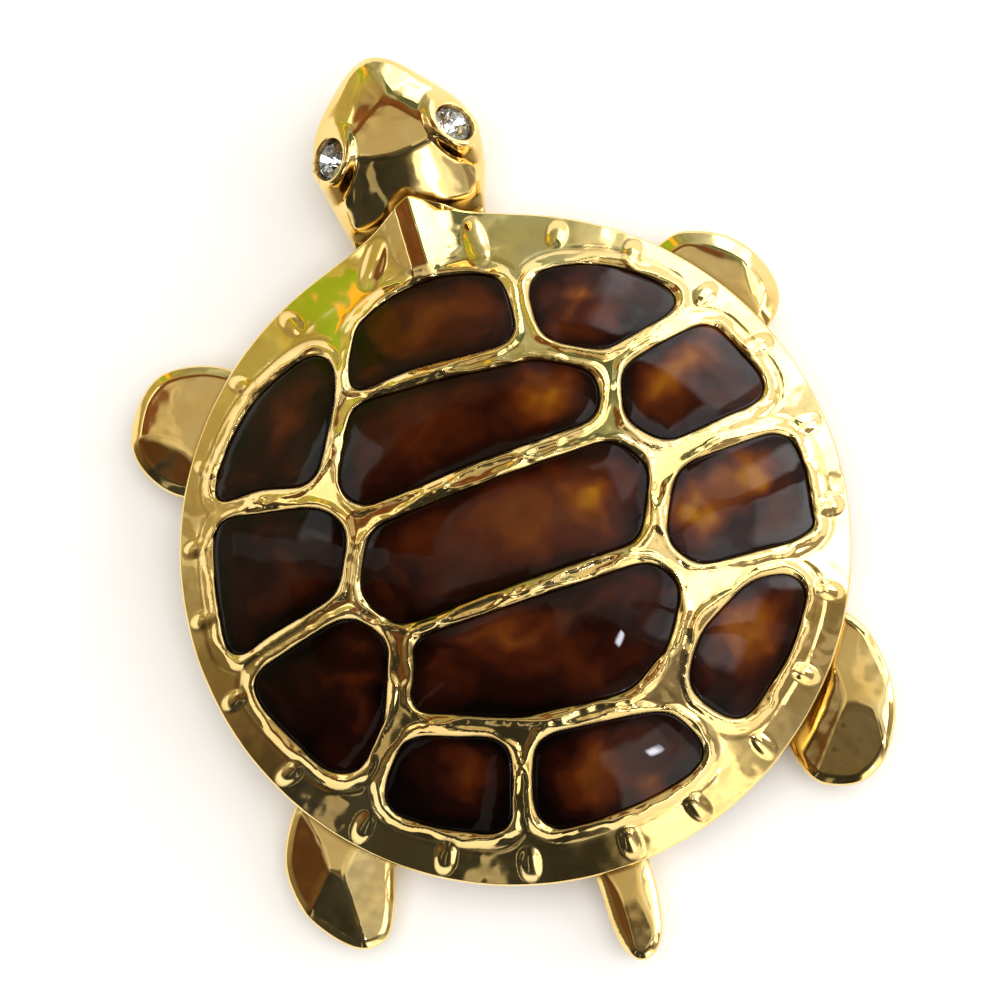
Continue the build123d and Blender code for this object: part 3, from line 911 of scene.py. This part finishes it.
def head_height(at, flat, crown):
    """Height of the head's top: flat forehead, muzzle, nape, brow bevels and sides."""
    x, y = at.T
    forehead = forehead_height - forehead_curve * ((x - forehead_x) ** 2 + (y - forehead_y) ** 2)
    near, far = (height + rise * (y - place) for height, place, rise in nape_planes)
    nape = smooth_min(near, far, top_crease) - nape_curve * (x - forehead_x) ** 2
    fall = bevel_slope * smooth_max(signed_distance(flat, at), 0.0, brow_crease)
    out = signed_distance(crown, at)
    for start, slope in brow_facets:
        fall += slope * smooth_max(out - start, 0.0, brow_crease)
    return smooth_min(forehead, nape, top_crease) - fall


def build_head():
    """The head and neck, with a seat for each stone."""
    line = closed_curve(head_outline, line_step)
    for middle, across, up, out in eyes.values():
        reach, level = in_eye_plane(line, middle, across, up)
        stretch = np.maximum((collar_radius + collar_margin) / reach, 1)[:, None]
        line = middle[:2] + (line - middle[:2]) * stretch
    line = smoothed(even_steps(line, line_step), outline_rounds)
    flat, crown = (smoothed(even_steps(np.array(points), crease_step), crease_rounds)
                   for points in (forehead_outline, crown_outline))

    sets, drops = rolled_edge(line, head_edge_round, head_edge_turns)
    grid = hex_grid(line.min(0), line.max(0), limb_step)
    keep = signed_distance(line, grid) < -head_edge_round
    for middle, across, up, out in eyes.values():
        reach, level = in_eye_plane(grid, middle, across, up)
        keep &= reach > collar_radius + collar_clear
    sets.append(grid[keep])
    drops.append(np.zeros(keep.sum()))
    seats = []
    turns = np.linspace(0, 2 * pi, seat_corners, endpoint=False)
    for middle, across, up, out in eyes.values():
        spokes = np.cos(turns)[:, None] * across + np.sin(turns)[:, None] * up
        sets.append((middle + (collar_radius + collar_clear) * spokes)[:, :2])
        for reach, level in seat_profile:
            first = len(line) + sum(len(part) for part in sets)
            seats.append((first, middle + reach * spokes + level * out, level))
            sets.append((middle + reach * spokes)[:, :2])
        drops.append(np.zeros(seat_corners * (1 + len(seat_profile))))
    plan, faces = triangulated(line, np.vstack(sets), [])
    drop = np.concatenate([np.full(len(line), head_edge_round)] + drops)

    height = np.maximum(head_height(plan, flat, crown), head_lowest) + ripple(plan)
    for middle, across, up, out in eyes.values():
        reach, level = in_eye_plane(plan, middle, across, up)
        swell = 1 - smooth_step(reach, collar_radius, collar_radius + collar_swell)
        height = height * (1 - swell) + level * swell
    from_middle = np.hypot(*plan.T)
    height = np.where(from_middle < shell_radius + rim_clear, np.minimum(height, under_rim), height)
    top = with_height(plan, height - drop)
    # Painted shade where the neck passes under the rim and peak
    past_rim = from_middle - shell_radius - overhang(plan[:, 0])
    painted_shade = neck_shade * (1 - smooth_step(past_rim, *neck_shade_end))
    for first, points, level in seats:
        top[first:first + seat_corners] = points
        # The seat's deep corners are painted in full shade
        painted_shade[first:first + seat_corners] = float(level < seat_shade_below)

    rim_z = top[:len(line), 2]
    rings = [with_height(head_hub[:2] + (line - head_hub[:2]) * draw_in, rim_z * share + foot)
             for draw_in, share, foot in head_rings]
    corners, faces = closed_solid(top, faces, rings, head_hub)
    return add_piece("head", corners, faces, [gold], ["underbody"], painted_shade=painted_shade)


# Stones: how deep they sit, and their rings of corners from the table to the culet as radius, height
# over the girdle, corners and the share of a step by which they are turned
stone_sink = 0.30
stone_sides = 8
stone_rings = [
    (0.60, 0.42, stone_sides, 0.0), (0.86, 0.29, stone_sides, 0.5), (1.15, 0.05, 2 * stone_sides, 0.0),
    (1.15, -0.03, 2 * stone_sides, 0.0), (0.42, -0.50, stone_sides, 0.5), (0.06, -0.76, stone_sides, 0.5)]


def build_stone(node):
    """A brilliant-cut stone in its seat: table, star, crown and girdle facets, silvered pavilion."""
    middle, across, up, out = eyes[node]
    corners = []
    rings = []
    for radius, rise, count, offset in stone_rings:
        rings.append(range(len(corners), len(corners) + count))
        for index in range(count):
            angle = 2 * pi * (index + offset) / count
            spoke = cos(angle) * across + sin(angle) * up
            corners.append(middle + radius * spoke + (rise - stone_sink) * out)
    table, kite, girdle_top, girdle_low, mains, culet = rings
    crown = [tuple(table)]
    pavilion = []
    for index in range(stone_sides):
        beyond = (index + 1) % stone_sides
        first, second, third = 2 * index, 2 * index + 1, 2 * beyond
        crown += [(table[index], kite[index], table[beyond]),
                  (kite[index], girdle_top[second], girdle_top[third], table[beyond]),
                  (table[index], girdle_top[first], girdle_top[second], kite[index])]
        pavilion += [(girdle_low[second], girdle_low[first], mains[index]),
                     (girdle_low[third], girdle_low[second], mains[index]),
                     (girdle_low[third], mains[index], mains[beyond]),
                     (mains[beyond], mains[index], culet[index], culet[beyond])]
    for index in range(2 * stone_sides):
        beyond = (index + 1) % (2 * stone_sides)
        crown.append((girdle_top[index], girdle_low[index], girdle_low[beyond], girdle_top[beyond]))
    pavilion.append(tuple(culet[::-1]))
    piece = add_piece(f"{node}_cut", corners, crown + pavilion, [clear_stone, foil], [node],
                      flat=True)
    kinds = [0] * len(crown) + [1] * len(pavilion)
    piece.data.polygons.foreach_set("material_index", kinds)
    return piece


build_shell()
for lens in lens_nodes:
    build_lens(lens)
for name, sizes in limbs.items():
    build_limb(name, **sizes)
build_ring()
build_head()
for stone in eyes:
    build_stone(stone)
pin_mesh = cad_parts["brooch_pin"].data
pin_mesh.materials.clear()
pin_mesh.materials.append(gold)

# Floor, in metres, a little below the feet
floor_half = 1.5
floor_drop = 0.00002
floor_corners = [(x * floor_half, y * floor_half, 0) for x, y in ((-1, -1), (1, -1), (1, 1), (-1, 1))]
floor_mesh = bpy.data.meshes.new("floor")
floor_mesh.from_pydata(floor_corners, [], [(0, 1, 2, 3)])
floor = new_object("floor", floor_mesh)
floor.location.z = -floor_drop
floor_material, floor_graph = new_material("floor")
floor_graph.surface("ShaderNodeBsdfDiffuse", {"Color": (0.93, 0.935, 0.95, 1)})
floor_mesh.materials.append(floor_material)

# Camera at the photograph's angle: azimuth and height over the object, turned about its own axis
azimuth, elevation, roll = 18.5, 83.7, 17.0
camera_distance = 200.0
focal_length = 130.9
aim = Vector((0.0455, 0.435, 4.685))
level_share = cos(radians(elevation))
back = Vector((sin(radians(azimuth)) * level_share, -cos(radians(azimuth)) * level_share,
               sin(radians(elevation))))
head_way = Vector((0, 1, 0))
head_way = (head_way - back * head_way.dot(back)).normalized()
side_way = head_way.cross(back)
image_up = cos(radians(roll)) * head_way + sin(radians(roll)) * side_way
image_right = cos(radians(roll)) * side_way - sin(radians(roll)) * head_way
camera_data = bpy.data.cameras.new("camera")
camera_data.sensor_width = 36
camera_data.lens = focal_length
camera_data.clip_start = 0.01
camera_data.clip_end = 10
camera = new_object("camera", camera_data)
turned = Matrix((image_right, image_up, back)).transposed().to_4x4()
camera.matrix_world = Matrix.Translation((aim + back * camera_distance) * MM) @ turned
bpy.context.scene.camera = camera

# Studio light: one surround whose brightness changes round the clock and with height
world = bpy.data.worlds.new("studio")
world.use_nodes = True
bpy.context.scene.world = world
sky = Graph(world.node_tree)
direction = sky.add("ShaderNodeTexCoord").outputs["Generated"]


def sky_along(axis):
    """The share of the view direction along one axis."""
    node = sky.add("ShaderNodeVectorMath", {0: direction, 1: tuple(axis)}, operation="DOT_PRODUCT")
    return node.outputs["Value"]


clock = sky.maths("ARCTAN2", sky_along(image_right), sky_along(image_up))
clock = sky.maths("FRACT", sky.maths("ADD", sky.maths("DIVIDE", clock, 2 * pi), 1.0))
height = sky_along((0, 0, 1))
# Colours round the clock in degrees clockwise from the image's top, near the horizon and higher up,
# with the elevations between which one band gives way to the next
low_light = [
    (0, 0.52, 0.56, 0.46), (20, 0.88, 0.93, 0.95), (34, 1.15, 1.14, 1.30), (62, 1.00, 0.98, 0.85),
    (100, 0.27, 0.22, 0.14), (118, 0.33, 0.30, 0.26), (130, 0.70, 0.68, 0.62), (158, 0.30, 0.28, 0.24),
    (166, 0.08, 0.075, 0.06), (228, 0.08, 0.065, 0.05), (242, 0.13, 0.095, 0.055), (256, 0.20, 0.16, 0.09),
    (272, 0.44, 0.38, 0.26), (300, 0.76, 0.68, 0.32), (318, 0.56, 0.52, 0.16), (338, 0.40, 0.40, 0.16),
    (360, 0.52, 0.56, 0.46)]
high_light = [
    (0, 0.30, 0.33, 0.25), (12, 0.22, 0.27, 0.17), (34, 0.30, 0.36, 0.26), (50, 1.00, 1.00, 0.95),
    (100, 0.85, 0.82, 0.78), (135, 0.40, 0.36, 0.32), (165, 0.14, 0.12, 0.10), (230, 0.12, 0.10, 0.08),
    (255, 0.26, 0.22, 0.18), (290, 0.50, 0.46, 0.40), (325, 0.45, 0.36, 0.26), (348, 0.30, 0.18, 0.10),
    (360, 0.30, 0.33, 0.25)]
low_colour = sky.ramp(clock, [(angle / 360, *colour) for angle, *colour in low_light])
high_colour = sky.ramp(clock, [(angle / 360, *colour) for angle, *colour in high_light])
zenith_colour = (0.76, 0.68, 0.52, 1)
high_band = (34, 48)
zenith_band = (62, 72)
to_high = sky.spread(height, *(sin(radians(angle)) for angle in high_band), 0.0, 1.0)
to_zenith = sky.spread(height, *(sin(radians(angle)) for angle in zenith_band), 0.0, 1.0)
colour = sky.mixed(to_zenith, sky.mixed(to_high, low_colour, high_colour), zenith_colour)

# Panels of the studio: clock angle and half width, lowest and highest elevation, colour, soft edge
panels = [
    (76, 13, 4, 30, (4.5, 4.5, 4.45), 2.5),
    (82, 34, 28, 50, (2.3, 2.3, 2.25), 2.5),
    (33, 19, 0, 26, (3.3, 3.3, 3.3), 2.0),
    (321, 3.0, 0, 26, (0.34, 0.50, 0.04), 1.0),
    (328.2, 2.6, 0, 26, (1.05, 0.62, 0.05), 0.7),
    (40, 14, 44, 58, (2.4, 2.35, 2.3), 2.0),
    (26, 20, 29, 43, (0.17, 0.22, 0.15), 2.0),
    (104, 1.5, 0, 60, (0.5, 0.45, 0.4), 0.8),
    (70, 1.2, 0, 60, (0.7, 0.65, 0.6), 0.8),
    (146, 12, 0, 34, (1.7, 1.65, 1.5), 2.0),
    (128, 5, 30, 50, (0.22, 0.19, 0.17), 2.0),
    (199, 32, 0, 66, (0.045, 0.045, 0.042), 3.0),
    (190, 2.0, 8, 40, (0.5, 0.47, 0.40), 1.0),
    (222, 1.5, 12, 50, (0.45, 0.40, 0.32), 1.0),
    (150, 24, 48, 66, (0.09, 0.085, 0.075), 4.0),
    (250, 16, 30, 60, (0.14, 0.07, 0.035), 2.0),
    (276, 2.5, 10, 55, (0.9, 0.85, 0.7), 1.0),
    (294, 14, 31, 44, (1.9, 1.88, 1.7), 1.5),
    (325, 45, 47, 66, (0.24, 0.10, 0.045), 1.5),
    (205, 40, 70, 79, (0.16, 0.13, 0.10), 6.0),
    (127, 0.9, 56.4, 57.6, (44, 45, 50), 1.2),
    (146, 0.8, 28.4, 29.6, (40, 40, 44), 1.2),
]
for middle, half_width, lowest, highest, panel_colour, soft in panels:
    turned_away = sky.maths("FRACT", sky.maths("ADD", clock, 1.5 - middle / 360))
    turned_away = sky.maths("ABSOLUTE", sky.maths("SUBTRACT", turned_away, 0.5))
    turned_away = sky.maths("MULTIPLY", turned_away, 360)
    beside = sky.spread(turned_away, half_width + soft, half_width, 0.0, 1.0)
    above = sky.spread(height, sin(radians(lowest - soft)), sin(radians(lowest)), 0.0, 1.0)
    below = sky.spread(height, sin(radians(highest + soft)), sin(radians(highest)), 0.0, 1.0)
    share = sky.maths("MULTIPLY", beside, sky.maths("MULTIPLY", above, below))
    colour = sky.mixed(share, colour, (*panel_colour, 1))
# Soft unevenness, as of a room with things in it
clutter = sky.spread(sky.noise(direction, 2.6, 2.5, 0.8), 0.42, 0.58, 0.70, 1.12)
colour = sky.add("ShaderNodeVectorMath", {0: colour, "Scale": clutter}, operation="SCALE")
sky.surface("ShaderNodeBackground", {"Color": colour.outputs["Vector"], "Strength": 1.0},
            "ShaderNodeOutputWorld")

# A wide soft lamp overhead that lights floor and enamel but isn't mirrored in the gold
lamp_data = bpy.data.lights.new("soft_lamp", "AREA")
lamp_data.shape = "DISK"
lamp_data.size = 1.2
lamp_data.energy = 11
lamp = new_object("soft_lamp", lamp_data)
lamp.location = (0, 0, 1.2)
lamp.visible_glossy = False
lamp.visible_camera = False
bpy.context.scene.view_settings.view_transform = "Standard"
